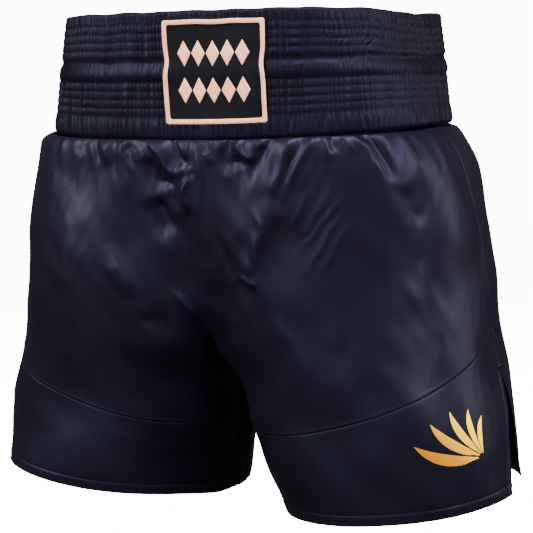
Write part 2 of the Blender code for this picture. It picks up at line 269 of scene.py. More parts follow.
def gold_material():
    """Heat-transfer film in amber gold. Its colour runs from deep amber at its lower left to pale gold at
    its upper right, a painted highlight.
    """
    n = Nodes("gold film")
    across, up = n.across_and_up()
    # Painted highlight: the colour lightens towards the upper right of the wing.
    painted_highlight_slope = n.math("ADD", n.math("MULTIPLY", across, 0.75), n.math("MULTIPLY", up, 0.45))
    n.colour(painted_highlight_slope, [(0.10, (0.25, 0.080, 0.0010)), (0.50, (0.44, 0.180, 0.002)),
                     (0.92, (0.95, 0.60, 0.012))])
    n.roughness(n.noise(220.0, 3.0), 0.30, 0.46)
    n.set(Metallic=0.0, Specular_IOR_Level=0.12)
    n.bump(n.noise(700.0), 0.00005, 0.3)
    return n.material


def elastic_material():
    n = Nodes("elastic webbing")
    n.colour(n.noise(300.0), [(0.3, (0.004, 0.004, 0.005)), (0.7, (0.008, 0.008, 0.010))])
    n.roughness(n.noise(80.0), 0.75, 0.9)
    n.set(Specular_IOR_Level=0.1)
    n.bump(weave(n, 0.0016, coordinates="Object"), 0.0003, 0.6)
    return n.material


def label_material(name, dark, light):
    n = Nodes(name)
    cloth = weave(n, 0.0007, coordinates="Object")
    n.colour(n.noise(120.0), [(0.3, dark), (0.7, light)])
    n.roughness(cloth, 0.5, 0.65)
    n.bump(cloth, 0.00008, 0.4)
    return n.material


def backdrop_material():
    """White paper, lit from behind so that it shows no shadow."""
    n = Nodes("pale paper")
    n.set(Roughness=0.9, Base_Color=(0.9, 0.9, 0.9, 1.0), Emission_Color=(1.0, 1.0, 1.0, 1.0),
          Emission_Strength=PAPER_GLOW)
    return n.material


SATIN = satin_material("navy satin", 0.41, 0.13, 0.85)
# Painted shade: the gathered band is the same satin with its base colour painted darker, for the shade
# between its gathers.
SHADED_BAND_SATIN = satin_material("navy satin gathered painted darker", 0.43, 0.075, 0.7)
LINING = satin_material("navy satin back", 0.62, 0.04, 0.6)
NAVY_THREAD = thread_material("navy thread", (0.0035, 0.0034, 0.0058), 0.10)
PEACH_THREAD = thread_material("peach thread", (0.72, 0.33, 0.215), 0.12)
TWILL = patch_material()
GOLD = gold_material()
ELASTIC = elastic_material()
SIZE_LABEL = label_material("woven label", (0.36, 0.35, 0.33), (0.44, 0.43, 0.41))
CARE_LABEL = label_material("woven label dark", (0.0035, 0.0034, 0.0058), (0.0055, 0.0053, 0.0090))

# ---- meshes


def grid_quads(rows, columns, closed=False):
    """The corners of a grid's quads. In a closed grid the last column joins the first."""
    index = np.arange(rows * columns).reshape(rows, columns)
    if closed:
        index = np.concatenate([index, index[:, :1]], axis=1)
    quads = np.stack([index[:-1, :-1], index[:-1, 1:], index[1:, 1:], index[1:, :-1]], axis=-1)
    return quads.reshape(-1, 4)


def add_object(name, data):
    obj = bpy.data.objects.new(name, data)
    bpy.context.collection.objects.link(obj)
    return obj


def mesh_object(name, points, faces, material, uv=None):
    """A smooth-shaded object. uv holds a pair for each point, for faces that are all quads."""
    mesh = bpy.data.meshes.new(name)
    mesh.from_pydata(np.reshape(points, (-1, 3)).tolist(), [], faces)
    if uv is not None:
        layer = mesh.uv_layers.new(name="UVMap")
        layer.data.foreach_set("uv", uv.reshape(-1, 2)[np.ravel(faces)].astype("f4").ravel())
    mesh.shade_smooth()
    mesh.materials.append(material)
    return add_object(name, mesh)


def grid_mesh(name, points, material, uv=None, closed=False, thickness=0.0):
    """A sheet through a grid of points, rows first, with UVs in metres."""
    obj = mesh_object(name, points, grid_quads(*points.shape[:2], closed).tolist(), material, uv)
    if thickness:
        solid = obj.modifiers.new("cloth", "SOLIDIFY")
        solid.thickness = thickness
        solid.offset = -1.0
    return obj


def place(obj, nodes, slot):
    """Fixes a piece to the one body. It stands for the CAD nodes named, if any."""
    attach(obj, BODY)
    if nodes:
        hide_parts(*nodes)
    return obj


def along_path(path, spacing):
    """Points at even steps along a path, with the path's directions there."""
    length = arc_length(path)
    places = np.arange(spacing / 2, length[-1], spacing)
    way = at_lengths(places + spacing / 4, length, path) - at_lengths(places - spacing / 4, length, path)
    return at_lengths(places, length, path), unit(way), places, length


def stitches(name, lines, stitch, gap, radius, material):
    """Stitches along lines, each a path and its normals: threads that rise between their holes."""
    sides, rings = 5, 4
    angle = np.linspace(0.0, 2 * math.pi, sides, endpoint=False)
    reach = np.linspace(-0.5, 0.5, rings)[:, None, None] * stitch
    swell = np.array([0.55, 1.0, 1.0, 0.55])[:, None] * radius
    lift = np.array([-0.6, 0.35, 0.35, -0.6])[:, None] * radius
    points = []
    for path, normals in lines:
        middle, way, places, length = along_path(path, stitch + gap)
        up = unit(at_lengths(places, length, normals))
        middle, way, up, side = (v[:, None, None] for v in (middle, way, up, np.cross(way, up)))
        ring = side * (np.cos(angle) * swell)[..., None] + up * (np.sin(angle) * swell + lift)[..., None]
        points.append((middle + way * reach + ring).reshape(-1, 3))
    points = np.concatenate(points)
    starts = range(0, len(points), rings * sides)
    tubes = np.array(starts)[:, None, None] + grid_quads(rings, sides, closed=True)
    faces = tubes.reshape(-1, 4).tolist()
    for start in starts:
        faces.append([start + k for k in reversed(range(sides))])
        faces.append([start + (rings - 1) * sides + k for k in range(sides)])
    return mesh_object(name, points, faces, material)


# ---- the waistband


def superellipse_quarter(exponent, count=90):
    angle = np.linspace(0.0, math.pi / 2, count)
    power = 2.0 / exponent
    return np.stack([np.clip(np.cos(angle), 0, 1) ** power, np.clip(np.sin(angle), 0, 1) ** power], axis=-1)


QUARTER = superellipse_quarter(BAND_ROUNDNESS)


def band_ring(z, u):
    """The band's smooth outline at height z, at shares u of its length, with outward normals.

    u is 0 at the right side seam, 0.25 at the centre front and 0.5 at the left side seam."""
    down = -z / BAND_HEIGHT
    width = lerp(RIM_HALF_WIDTH, SEAM_HALF_WIDTH, down)
    depth = lerp(RIM_HALF_DEPTH, SEAM_HALF_DEPTH, down)
    front = np.concatenate([QUARTER * (-width, -depth), (QUARTER[::-1] * (width, -depth))[1:]])
    ring = np.concatenate([front, (front * (1.0, -1.0))[::-1][1:]])
    length = arc_length(ring)
    length /= length[-1]
    here, ahead, behind = (at_lengths(np.mod(u + step, 1.0), length, ring) for step in (0.0, 0.004, -0.004))
    way = ahead - behind
    normal = unit(np.stack([way[..., 1], -way[..., 0]], axis=-1))
    return here + (0.0, lerp(RIM_CENTRE_Y, SEAM_CENTRE_Y, down)), normal


ROW_PITCH = 0.00635
UPPER_ROWS = [-0.0105 - k * ROW_PITCH for k in range(5)]
LOWER_ROWS = [-0.0538 - k * ROW_PITCH for k in range(5)]
CHANNEL_TOP, CHANNEL_BOTTOM = UPPER_ROWS[-1], LOWER_ROWS[0]
RING_LENGTH = 0.93
# Gathers round the band: above the stitching, in it and below it.
RIM_RIDGES, RIDGES, SKIRT_RIDGES = 190, 246, 158
# Where the rim starts to roll over, and the radius of its roll.
BAND_TOP, RIM_ROLL, ROLL_STEPS = -0.0004, 0.0026, 9
BAND_HALVES = (("front", 0.0, 0.5), ("back", 0.5, 1.0))

PATCH_LOW, PATCH_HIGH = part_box("patch_border")
PATCH_X = (PATCH_LOW[0] + PATCH_HIGH[0]) / 2
PATCH_WIDTH = PATCH_HIGH[0] - PATCH_LOW[0]
PATCH_TOP, PATCH_BOTTOM = PATCH_HIGH[2], PATCH_LOW[2]
PATCH_BORDER = 0.0036
PATCH_LIFT = 0.0016
FRONT_SHARES = np.linspace(0.0, 0.5, 1200)
PATCH_U = np.interp(PATCH_X, band_ring(-BAND_HEIGHT / 2, FRONT_SHARES)[0][:, 0], FRONT_SHARES)
PATCH_SHARE = PATCH_WIDTH / RING_LENGTH
wander = waves(11, 9, (6, 18), (0.4, 3.0))
flutter = waves(12, 12, (30, 80), (2, 9))
strength = waves(13, 12, (20, 70), (4, 20))
sway = waves(14, 8, (8, 26), (0.5, 4.0))
hem_wander = waves(15, 10, (10, 30), (2, 10))
tuck = waves(16, 10, (30, 90), (10, 40))


def ribs(u, z, count, jitter=1.0):
    """Upright gathers: round crests, at 1, between narrow furrows, at 0."""
    slant = 1.1 * bell((u - 0.43) / 0.045) * bell((z + 0.026) / 0.009) * (z + 0.026) / 0.0045
    phase = count * u + jitter * (0.42 * wander(u, z) + 0.20 * flutter(u, z)) - slant
    return np.abs(np.sin(math.pi * phase)) ** 0.75


def cell(z, top, bottom):
    """From 0 at two rows of stitching to 1 half way between them."""
    return np.sin(math.pi * np.clip((z - bottom) / (top - bottom), 0.0, 1.0))


def channel_relief(u, z, vary):
    """The cord channel: a soft tube, hollow along its top, with slanting tucks across it."""
    share = np.clip((CHANNEL_TOP - z) / (CHANNEL_TOP - CHANNEL_BOTTOM), 0.0, 1.0)
    tube = 1.9 * np.sin(math.pi * share**1.45) ** 1.2 - 0.75 * bell((share - 0.17) / 0.12)
    phase = 84 * u + 0.8 * sway(u, z) + 0.25 * tuck(u, z) + (share - 0.5) * 0.9
    tucks = np.abs(np.sin(math.pi * phase)) ** 0.6
    depth = np.clip(0.5 + 0.5 * sway(u + 0.31, z), 0.0, 1.4)
    fine = ribs(u, z, RIDGES, 1.3) * (0.24 + 0.4 * bell((share - 1.0) / 0.25) + 0.4 * bell(share / 0.2))
    return MM * (tube - 0.75 * depth * (1.0 - tucks) * np.sin(math.pi * share) ** 0.5 + fine * vary)


def band_relief(u, z):
    """How far the gathered satin stands out from the band's smooth face."""
    vary = 1.0 + 0.22 * strength(u, z)
    fine = ribs(u, z, RIDGES)
    height = np.where(z > UPPER_ROWS[0], MM * (0.30 + 0.75 * ribs(u, z, RIM_RIDGES) * vary), 0.0)
    for rows in (UPPER_ROWS, LOWER_ROWS):
        for top, bottom in zip(rows[:-1], rows[1:]):
            inside = (z <= top) & (z > bottom)
            puff = cell(z, top, bottom) ** 0.6
            height = np.where(inside, MM * (0.16 + 0.10 * puff + (0.54 + 0.48 * puff) * fine * vary), height)
    height = np.where((z <= CHANNEL_TOP) & (z > CHANNEL_BOTTOM), channel_relief(u, z, vary), height)
    share = np.clip((LOWER_ROWS[-1] - z) / (LOWER_ROWS[-1] + BAND_HEIGHT), 0.0, 1.0)
    coarse = ribs(u, z, SKIRT_RIDGES, 1.2)
    pleats = lerp(0.7 * fine, 1.15 * coarse, smoothstep(share * 2.5))
    skirt = MM * (0.25 + 0.45 * np.sin(math.pi * share) + pleats * vary)
    height = np.where(z <= LOWER_ROWS[-1], skirt, height)
    for row in UPPER_ROWS + LOWER_ROWS:
        height = height - 0.16 * MM * bell((z - row) / 0.0006) * (0.6 + 0.8 * (1.0 - fine))
    height = height - 1.6 * MM * bell((z + BAND_HEIGHT + 0.0004) / 0.0016)
    covered = smoothstep((PATCH_SHARE / 2 - np.abs(u - PATCH_U)) / 0.004)
    covered = covered * smoothstep((z - PATCH_BOTTOM) / 0.002) * smoothstep((PATCH_TOP - z) / 0.002)
    return height * (1.0 - 0.72 * covered)


def band_heights():
    """Rows of the band's grid, close together where the cloth bends most."""
    upper, lower = ([(*pair, 7) for pair in zip(rows[:-1], rows[1:])] for rows in (UPPER_ROWS, LOWER_ROWS))
    spans = [(BAND_TOP, UPPER_ROWS[0], 8), *upper, (CHANNEL_TOP, CHANNEL_BOTTOM, 15), *lower,
             (LOWER_ROWS[-1], -BAND_HEIGHT, 13)]
    return [z for top, bottom, count in spans for z in np.linspace(top, bottom, count)[:-1]] + [-BAND_HEIGHT]


def rim_lift(u):
    """How the rim waves up and down: a little higher in front than over the left hip."""
    return 0.00028 * hem_wander(u, 0.0) + 0.0034 - 0.0048 * bell((u - 0.5) / 0.075)


def seam_lift(u):
    """How the waist seam rides up over the hips, u round the body from the right side."""
    front = -0.0015 + 0.0088 * bell(u / 0.105) + 0.0080 * smoothstep((u - 0.26) / 0.24)
    back = lerp(0.0065, 0.0073, smoothstep((u - 0.5) * 2.0))
    return np.where(u <= 0.5, front, back)


def band_lift(u, z):
    """The lift of a point between the rim and the waist seam."""
    down = np.clip(-z / BAND_HEIGHT, 0.0, 1.0)
    return lerp(rim_lift(u), seam_lift(u), smoothstep(down))


def band_point(u, z, out):
    """Points over the band's smooth face."""
    ring, normal = band_ring(z, u)
    here = ring + normal * np.asarray(out)[..., None]
    return np.stack([here[..., 0], here[..., 1], np.broadcast_to(z, here[..., 0].shape)], axis=-1)


def band_sheet(name, node, slot, material, u, rows, outward):
    """One half of the band, or of its lining, from rows of points."""
    points = np.array(rows)
    uv = np.stack([np.broadcast_to(u * RING_LENGTH, points.shape[:2]), points[..., 2]], axis=-1)
    if outward:
        points, uv = points[::-1], uv[::-1]
    sheet = place(grid_mesh(name, points, material, uv), [node], slot)


def make_band():
    """The outer satin, which rolls over at the rim."""
    for half, first, last in BAND_HALVES:
        u = np.linspace(first, last, 840)
        at_rim = band_relief(u, np.full_like(u, BAND_TOP))
        rows = []
        for k in range(ROLL_STEPS):
            turn = math.pi * (1.0 - k / ROLL_STEPS)
            row = band_point(u, BAND_TOP, RIM_ROLL * (math.cos(turn) - 1.0) + at_rim * math.cos(turn / 2))
            row[:, 2] = RIM_ROLL * (math.sin(turn) - 1.0) + rim_lift(u)
            rows.append(row)
        for z in band_heights():
            row = band_point(u, z, band_relief(u, np.full_like(u, z)))
            row[:, 2] += band_lift(u, z) - RIM_ROLL * smoothstep(1.0 + z / 0.006)
            rows.append(row)
        band_sheet(f"gathered_band_{half}", f"waistband_{half}", "satin", SHADED_BAND_SATIN,
                   u, rows, True)


def make_band_stitches():
    u = np.linspace(0.0, 1.0, 2400)
    lines = []
    for z in UPPER_ROWS + LOWER_ROWS:
        path = band_point(u, z, band_relief(u, np.full_like(u, z)) + 0.00012)
        path[:, 2] += 0.00022 * flutter(u, z) + band_lift(u, z)
        _, normal = band_ring(z, u)
        lines.append((path, np.concatenate([normal, np.zeros((len(u), 1))], axis=1)))
    place(stitches("band_stitching", lines, 0.0022, 0.0009, 0.00022, NAVY_THREAD), [], "thread")


LINING_DEPTH = 0.0042


def make_lining():
    """The back of the band: the same gathers, seen from inside and flatter."""
    for half, first, last in BAND_HALVES:
        u = np.linspace(first, last, 620)
        rows = []
        for z in np.linspace(-RIM_ROLL, -BAND_HEIGHT, 60):
            channel = 0.0010 * bell((z - (CHANNEL_TOP + CHANNEL_BOTTOM) / 2) / 0.008)
            row = band_point(u, z, channel - LINING_DEPTH - 0.45 * band_relief(u, np.full_like(u, z)))
            row[:, 2] += band_lift(u, z)
            rows.append(row)
        band_sheet(f"band_lining_{half}", f"waistband_lining_{half}", "lining", LINING,
                   u, rows, False)


# ---- the body's smooth surface


def blurred(values, reach, axis):
    """Values averaged with their neighbours along an axis, within a reach."""
    shifts = np.arange(2 * reach + 1)
    weights = bell((shifts - reach) / (reach / 2))
    padding = [(reach, reach) if k == axis else (0, 0) for k in range(values.ndim)]
    padded = np.pad(values, padding, mode="edge")
    own = np.arange(values.shape[axis])
    return sum(w * padded.take(own + k, axis=axis) for k, w in zip(shifts, weights / weights.sum()))


def ease_down(outlines):
    """Smooths the surface down the leg, where its formula changes at the crotch."""
    t = np.linspace(0.0, 1.0, TABLE_T)[:, None, None]
    column = np.arange(TABLE_S)[None, :, None]
    share = smoothstep(t / 0.1) * smoothstep((1.0 - t) / 0.1) * smoothstep((column - 2.0) / 24.0)
    return lerp(outlines, blurred(outlines, EASE_ROWS, axis=0), share)


def hem_oval(angle):
    power = 2.0 / LEG_ROUNDNESS
    c, s = math.cos(angle), math.sin(angle)
    x = LEG_HALF_WIDTH * math.copysign(abs(c) ** power, c)
    y = LEG_HALF_DEPTH * math.copysign(abs(s) ** power, s)
    turn_c, turn_s = math.cos(LEG_TOE_OUT), math.sin(LEG_TOE_OUT)
    return np.array([LEG_CENTRE_X + x * turn_c - y * turn_s, LEG_CENTRE_Y + x * turn_s + y * turn_c])


def hem_height(x, y):
    return -OUTSEAM + HEM_RISE_OUTWARD * (x - LEG_CENTRE_X) + HEM_RISE_BACKWARD * (y - LEG_CENTRE_Y)


HEM_INNER, HEM_OUTER = hem_oval(math.pi), hem_oval(0.0)
HEM_FRONT, HEM_BACK = hem_oval(-math.pi / 2), hem_oval(math.pi / 2)
CROTCH_T = (-CROTCH_Z - BAND_HEIGHT) / (-hem_height(*HEM_INNER) - BAND_HEIGHT)


def seat_top(back):
    return SEAM_CENTRE_Y + (1.0 if back else -1.0) * (SEAM_HALF_DEPTH + BODY_PROUD)


def body_section(t, back):
    """Half of the left leg's outline at t, from the inner seam to the side seam."""
    if t < CROTCH_T:
        bend = math.sqrt(1.0 - (t / CROTCH_T) ** 2)
        start = np.array([0.0, lerp(CROTCH_Y, seat_top(back), bend)])
    else:
        down = (t - CROTCH_T) / (1.0 - CROTCH_T)
        start = np.array([HEM_INNER[0] * down**0.85, lerp(CROTCH_Y, HEM_INNER[1], smoothstep(down))])
    fullness = SIDE_FULLNESS * math.sin(math.pi * t**0.6)
    side = np.array([
        lerp(SEAM_HALF_WIDTH + BODY_PROUD, HEM_OUTER[0], t) + fullness,
        lerp(SEAM_CENTRE_Y, HEM_OUTER[1], t),
    ])
    hem = HEM_BACK if back else HEM_FRONT
    crown = np.array([hem[0] * smoothstep(t) ** 0.8, lerp(seat_top(back), hem[1], smoothstep(t))])
    turn = LEG_TOE_OUT * smoothstep((t - CROTCH_T) / (1.0 - CROTCH_T))
    axes = np.array([[math.cos(turn), math.sin(turn)], [-math.sin(turn), math.cos(turn)]])
    crown, side = axes @ (crown - start), axes @ (side - start)
    quarter = superellipse_quarter(lerp(BAND_ROUNDNESS, LEG_ROUNDNESS, smoothstep(1.6 * t)))
    inner = np.stack([crown[0] * (1.0 - quarter[:, 0]), crown[1] * quarter[:, 1]], axis=-1)
    outer = np.stack([
        crown[0] + (side[0] - crown[0]) * quarter[:, 1],
        side[1] - (side[1] - crown[1]) * quarter[:, 0],
    ], axis=-1)
    return start + np.concatenate([inner, outer[1:]]) @ axes


def resampled(points, count):
    length = arc_length(points)
    return at_lengths(np.linspace(0.0, length[-1], count), length, points)


# The size of a table of the surface, and how far it is smoothed across the centre and down the leg.
TABLE_S, TABLE_T = 260, 460
VALLEY, EASE_ROWS = 34, 34


def ease_centre(outlines):
    """Rounds the valley where the two halves meet above the crotch, so that no crease shows there."""
    mirrored = outlines[:, VALLEY * 3:0:-1] * (-1.0, 1.0)
    whole = np.concatenate([mirrored, outlines], axis=1)
    whole = blurred(blurred(whole, VALLEY, axis=1), VALLEY, axis=1)
    t = np.linspace(0.0, 1.0, TABLE_T)[:, None, None]
    column = np.arange(TABLE_S)[None, :, None]
    share = smoothstep((CROTCH_T - t) / 0.16) * smoothstep((VALLEY * 2.2 - column) / VALLEY)
    return lerp(outlines, whole[:, VALLEY * 3:], share)


def body_table(back):
    """The left half's smooth face and its outward normals, on an even grid of t and s."""
    points = np.zeros((TABLE_T, TABLE_S, 3))
    hem = resampled(body_section(1.0, back), TABLE_S)
    bottom = hem_height(hem[:, 0], hem[:, 1])
    for j in range(TABLE_T):
        t = j / (TABLE_T - 1)
        points[j, :, :2] = resampled(body_section(t, back), TABLE_S)
        points[j, :, 2] = lerp(-BAND_HEIGHT, bottom, t)
    points[:, :, :2] = ease_down(ease_centre(points[:, :, :2]))
    outward = 1.0 if back else -1.0
    normals = unit(np.cross(np.gradient(points, axis=1), np.gradient(points, axis=0))) * outward
    for _ in range(6):
        spread = normals.copy()
        spread[1:-1] = (normals[:-2] + 2 * normals[1:-1] + normals[2:]) / 4
        spread[:, 1:-1] = (spread[:, :-2] + 2 * spread[:, 1:-1] + spread[:, 2:]) / 4
        normals = unit(spread)
    # Normals stay in the plane of each seam, so that the two sides of the seam stay together.
    above = smoothstep((CROTCH_T + 0.01 - np.linspace(0.0, 1.0, TABLE_T)) / 0.02)[:, None]
    near = bell(np.arange(TABLE_S) / 5.0)[None, :]
    normals[..., 0] *= 1.0 - above * near
    normals[..., 1] *= 1.0 - (1.0 - above) * near
    normals[..., 1] *= 1.0 - near[:, ::-1]
    return points, unit(normals)


TABLES = {back: body_table(back) for back in (False, True)}


def sample(table, s, t):
    """Values of a table between its grid points."""
    column = np.clip(s, 0.0, 1.0) * (TABLE_S - 1)
    row = np.clip(t, 0.0, 1.0) * (TABLE_T - 1)
    c = np.minimum(column.astype(int), TABLE_S - 2)
    r = np.minimum(row.astype(int), TABLE_T - 2)
    right, down = (column - c)[..., None], (row - r)[..., None]
    upper, lower = (lerp(table[k, c], table[k, c + 1], right) for k in (r, r + 1))
    return lerp(upper, lower, down)


def curve_t(s):
    share = np.maximum(0.0, s - CURVE_START) / (1.0 - CURVE_START)
    return CURVE_LOW - CURVE_RISE * share**CURVE_POWER


def slit_edge(t, back):
    opening = SLIT_OPEN_BACK if back else SLIT_OPEN_FRONT
    down = np.maximum(0.0, t - SLIT_TOP) / (1.0 - SLIT_TOP)
    return 1.0 - opening * down**1.25


# ---- folds

# Folds of the front, in mm: where each starts, the point it bends towards, where it
# ends, half its width, and its height, below 0 for a furrow. The places are (q, z), with q to the
# right of the waist's middle in the level view from the front and left.
FRONT_FOLDS = [
    (-84, -96, -73, -113, -53, -128, 3.6, 3.6),
    (-66, -97, -61, -110, -55, -121, 5.5, -5.0),
    (-92, -113, -79, -127, -63, -136, 6.0, -3.2),
    (-53, -126, -53, -143, -58, -164, 3.8, 4.0),
    (-84, -140, -73, -163, -67, -188, 11.0, -4.5),
    (-105, -97, -104, -116, -97, -141, 2.6, 1.8),
    (-99, -96, -98, -102, -97, -108, 2.6, -3.0),
    (-122, -185, -110, -216, -92, -231, 9.0, 3.2),
    (-76, -219, -54, -234, -34, -239, 9.0, 3.0),
    (-100, -240, -80, -252, -60, -262, 9.0, -2.0),
    (-10, -96, -8, -118, 4, -112, 3.0, 3.4),
    (-22, -98, -22, -113, -12, -124, 6.0, -4.5),
    (14, -97, 2, -112, -9, -130, 4.8, -4.5),
    (-40, -104, -38, -112, -30, -120, 5.0, 2.4),
    (29, -96, 22, -118, 12, -146, 4.2, 3.0),
    (13, -140, 3, -180, -4, -219, 9.0, 5.0),
    (-14, -200, -5, -219, 5, -206, 5.0, 2.6),
    (45, -96, 32, -121, 23, -146, 3.8, 2.2),
    (37, -97, 27, -120, 20, -140, 3.0, -2.2),
    (57, -95, 61, -103, 65, -110, 2.6, -2.8),
    (52, -96, 56, -106, 61, -116, 3.2, 1.6),
    (84, -96, 101, -120, 113, -140, 3.6, -3.0),
    (78, -96, 95, -122, 108, -146, 4.0, 1.8),
    (112, -138, 122, -157, 131, -176, 6.0, -1.8),
    (70, -137, 50, -163, 26, -192, 2.6, 0.9),
    (72, -150, 54, -175, 30, -211, 2.8, 0.9),
    (62, -137, 46, -156, 30, -176, 2.4, 0.8),
    (44, -136, 36, -156, 23, -174, 3.0, 1.1),
    (78, -160, 60, -186, 40, -214, 3.4, 0.7),
    (-32, -140, -26, -230, -16, -330, 17.0, -5.0),
    (-46, -260, -40, -300, -34, -350, 12.0, 2.5),
    (20, -230, 30, -270, 36, -320, 14.0, 2.0),
    (-150, -130, -158, -200, -165, -280, 16.0, 2.5),
    (120, -190, 138, -240, 150, -300, 16.0, 2.2),
    (60, -240, 80, -280, 110, -310, 14.0, -1.6),
    (-130, -96, -131, -106, -128, -118, 3.0, -1.8),
    (-120, -96, -120, -108, -117, -120, 3.2, 1.4),
    (-146, -96, -146, -104, -144, -114, 3.0, -1.6),
    (120, -96, 124, -106, 130, -118, 3.4, -1.4),
    (70, -96, 74, -104, 79, -114, 2.8, 1.4),
    (6, -96, 5, -102, 3, -108, 2.6, 1.6),
]
# Folds of the seat, at (x, z), to the same pattern.
BACK_FOLDS = [
    (-6, -96, -10, -122, -22, -150, 4.2, 2.8),
    (8, -96, 14, -118, 30, -142, 4.2, 2.6),
    (-30, -96, -38, -118, -52, -146, 4.6, 2.4),
    (34, -96, 44, -122, 50, -150, 4.4, 2.2),
    (-60, -96, -66, -118, -68, -146, 4.0, 2.0),
    (66, -96, 70, -112, 82, -132, 4.0, 2.2),
    (92, -96, 98, -120, 100, -150, 4.2, 1.8),
    (-96, -96, -100, -116, -112, -140, 4.2, 1.9),
    (0, -150, 22, -190, 60, -226, 11.0, 3.4),
    (0, -168, -26, -206, -66, -240, 11.0, 3.2),
    (10, -215, 44, -250, 92, -268, 10.0, 2.6),
    (-8, -225, -48, -262, -98, -284, 10.0, 2.8),
    (-14, -260, -50, -300, -86, -330, 9.0, 2.2),
    (14, -262, 46, -304, 96, -322, 9.0, 2.0),
    (0, -130, 0, -200, 0, -270, 12.0, -3.6),
    (120, -180, 128, -250, 150, -330, 18.0, 2.2),
    (-124, -190, -134, -260, -150, -340, 18.0, 2.2),
    (-84, -160, -80, -200, -92, -250, 12.0, -2.2),
    (82, -158, 88, -200, 80, -244, 12.0, -2.0),
]

fold_bend = waves(35, 10, (6, 22), (10, 34))
FOLD_STEPS = 12


def fold_height(q, z, folds):
    """The sum of a list of folds at (q, z), in metres."""
    height = np.zeros(q.shape)
    bend_q, bend_z = fold_bend(q / 0.5, z), fold_bend(q / 0.5 + 0.37, z)
    q, z = q + 0.0014 * bend_q, z + 0.0020 * bend_z
    for *places, width, peak in folds:
        start, bend, end = np.reshape(places, (3, 2)) * MM
        best = np.full(q.shape, np.inf)
        near = np.zeros(q.shape)
        previous = start
        for k in range(1, FOLD_STEPS + 1):
            v = k / FOLD_STEPS
            here = (1 - v) ** 2 * start + 2 * v * (1 - v) * bend + v * v * end
            span = here - previous
            share = ((q - previous[0]) * span[0] + (z - previous[1]) * span[1]) / (span @ span)
            share = np.clip(share, 0.0, 1.0)
            distance = np.hypot(q - previous[0] - share * span[0], z - previous[1] - share * span[1])
            closer = distance < best
            best = np.where(closer, distance, best)
            near = np.where(closer, (k - 1 + share) / FOLD_STEPS, near)
            previous = here
        from_waist = start[1] > -0.1
        fade_in = 1.0 if from_waist else smoothstep(near / 0.3)
        spread = width * MM * (1.0 + 0.5 * near * from_waist)
        height += peak * MM * crest(best / spread) * fade_in * smoothstep((1.0 - near) / 0.45)
    return height


def gather_ridges(seed, count):
    """Random small gathers round the waist seam: place, half width, length, lean and height."""
    rng = np.random.default_rng(seed)
    places = (np.arange(count) + rng.uniform(-0.38, 0.38, count)) / count
    widths = rng.uniform(0.0022, 0.0052, count)
    lengths = rng.uniform(0.010, 0.042, count)
    leans = rng.uniform(-0.30, 0.30, count)
    heights = rng.uniform(0.0006, 0.0022, count) * rng.choice((1.0, 1.0, -1.0), count)
    return list(zip(places, widths, lengths, leans, heights))


GATHERS = gather_ridges(31, 84)
drape = waves(41, 10, (1, 5), (1.5, 6.0))
ripple = waves(42, 10, (5, 14), (4.0, 14.0))
crumple = waves(43, 14, (14, 34), (8.0, 30.0))
pull = waves(44, 12, (12, 34), (2.0, 9.0))
wrinkle = waves(45, 12, (24, 60), (6.0, 24.0))
PERIMETER = 0.98


def waist_gathers(u, down):
    """Gathers below the waist seam, u round the body (0 to 1) and down from the seam in metres."""
    height = np.zeros(u.shape)
    for spot, width, length, lean, peak in GATHERS:
        offset = (u - spot - lean * down / PERIMETER + 0.5) % 1.0 - 0.5
        spread = width * (1.0 + 1.1 * down / length)
        height += peak * crest(offset * PERIMETER / spread) * np.exp(-((down / length) ** 1.4))
    return height


def around(s, back, mirrored):
    """The share u round the body of places on a panel."""
    way = -0.25 if mirrored else 0.25
    return 0.75 - way * s if back else 0.25 + way * s


def relief(points, s, t, back, mirrored):
    """How far the cloth stands out from the smooth surface."""
    x = points[..., 0] * (-1.0 if mirrored else 1.0)
    y, z = points[..., 1], points[..., 2]
    down = np.maximum(0.0, -z - BAND_HEIGHT)
    q = x if back else x * math.cos(VIEW_AZIMUTH) + y * math.sin(VIEW_AZIMUTH)
    height = waist_gathers(around(s, back, mirrored), down)
    height += fold_height(q, z, BACK_FOLDS if back else FRONT_FOLDS) * smoothstep((1.0 - s) / 0.12)
    angle = np.arctan2(y, x) / (2 * math.pi)
    calm = smoothstep(down / 0.03)
    height += calm * (0.0016 * drape(angle, z) + 0.0005 * ripple(angle, z) + 0.00016 * crumple(angle, z))
    drawn = np.exp(-((down / 0.055) ** 1.5)) * (0.35 + 0.65 * bell(x / 0.09))
    height += 0.0009 * drawn * (0.8 - np.abs(pull(angle, z)))
    height += 0.00026 * (0.3 + drawn) * calm * (0.6 - np.abs(wrinkle(angle, z)))
    hip, start = (0.0078, 0.035) if mirrored else (0.0056, 0.13)
    height += hip * smoothstep((s - 0.52) / 0.36) * smoothstep(t / start) * smoothstep((1.02 - t) / 0.3)
    inner = lerp(0.0055, 0.0085, smoothstep((t - CROTCH_T) / (1.0 - CROTCH_T)))
    height += inner * bell(s / 0.16) * smoothstep((t - CROTCH_T - 0.04) / 0.12)
    settle = 1.0 - np.exp(-down / 0.005)
    height *= lerp(0.35, 1.0, settle)
    return height + 0.0030 * (settle - 1.0) + 0.0012 * settle * np.exp(-down / 0.03)


# ---- panels

# The cloth's thickness, what is turned in at the waist, the hem's depth and a seam's bead.
CLOTH = 0.0004
TUCK = 0.0045
HEM_DEPTH = 0.0092
BEAD = 0.0016
SIDES = (("left", False), ("right", True))


def edge_relief(distance):
    """The small roll of cloth beside a seam: a furrow at the seam and a bead next to it."""
    return 0.00022 * bell((distance - BEAD) / 0.0014) - 0.00028 * bell(distance / 0.0009)


def hem_relief(distance):
    """The turned hem: two layers below its stitching, which pulls the cloth in."""
    return 0.00030 * (smoothstep((HEM_DEPTH - distance) / 0.002) - bell((distance - HEM_DEPTH) / 0.0009))


